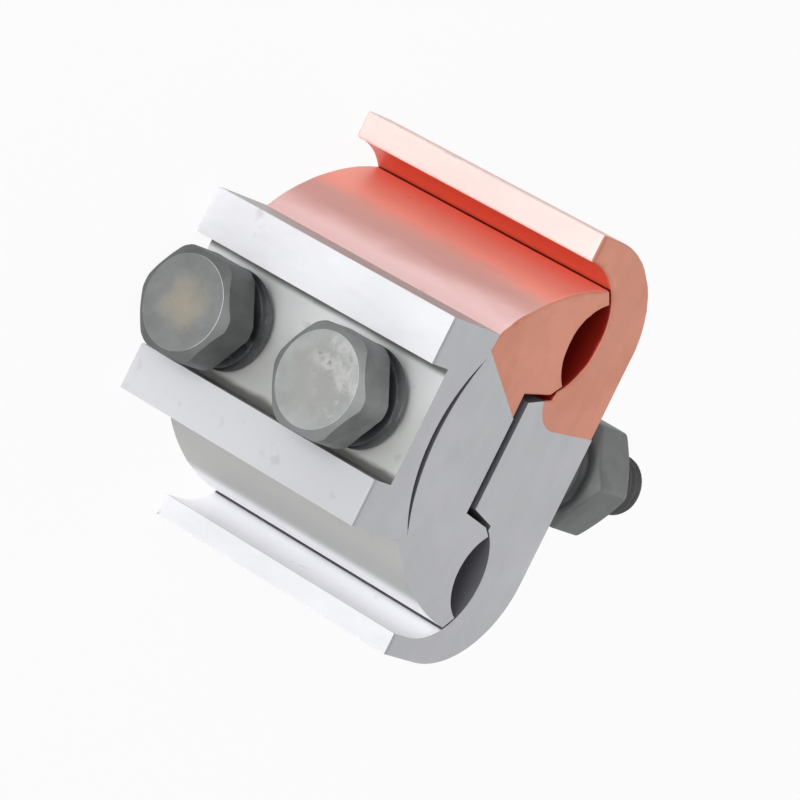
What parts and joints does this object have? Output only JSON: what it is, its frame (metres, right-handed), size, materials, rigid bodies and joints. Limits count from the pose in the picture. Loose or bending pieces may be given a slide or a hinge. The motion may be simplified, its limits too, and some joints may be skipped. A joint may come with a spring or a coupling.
{
  "type": "parallel groove clamp",
  "caption": "Bimetallic parallel groove clamp: two extruded jaws, aluminium on one side and copper on the other, drawn together on hexagon bolts to join parallel conductors.",
  "frame": {"origin": "centre of the far end face the clamp stands on, midway between the two conductor grooves", "axes": "+Z along the conductors and the extruded jaws, +Y along the bolts from heads to nuts, -X towards the copper groove"},
  "size_m": [0.0553, 0.0653, 0.0395],
  "materials": {
    "jaw_aluminium": "extruded and sawn",
    "jaw_copper": "copper, extruded and sawn",
    "galvanised_steel": "dull galvanised",
    "dark_spring_steel": "dark oiled"
  },
  "bodies": {
    "rear_jaw": {"rear_jaw_aluminium": "jaw_aluminium", "rear_jaw_copper": "jaw_copper", "flat_washer_1": "galvanised_steel", "flat_washer_2": "galvanised_steel", "nut_spring_washer_1": "dark_spring_steel", "nut_spring_washer_2": "dark_spring_steel"},
    "front_jaw": {"front_jaw_aluminium": "jaw_aluminium", "front_jaw_copper": "jaw_copper", "bolt_1": "galvanised_steel", "bolt_2": "galvanised_steel", "head_spring_washer_1": "dark_spring_steel", "head_spring_washer_2": "dark_spring_steel"},
    "nut_1": {"nut_1": "galvanised_steel"},
    "nut_2": {"nut_2": "galvanised_steel"}
  },
  "joints": [
    {"name": "jaw_slide", "type": "slide", "parent": "rear_jaw", "child": "front_jaw", "axis": [0, -1, 0], "range_m": [0, 0.0075]},
    {"name": "nut_1_turn", "type": "hinge", "parent": "rear_jaw", "child": "nut_1", "pos_m": [0, 0.0164, 0.0085], "axis": [0, 1, 0], "range_deg": [0, 2160]},
    {"name": "nut_2_turn", "type": "hinge", "parent": "rear_jaw", "child": "nut_2", "pos_m": [0, 0.0164, 0.031], "axis": [0, 1, 0], "range_deg": [0, 2160]}
  ],
  "couplings": [
    {"joint": "nut_1_turn", "follows": "jaw_slide", "rad_per_m": 5026.5},
    {"joint": "nut_2_turn", "follows": "jaw_slide", "rad_per_m": 5026.5}
  ]
}
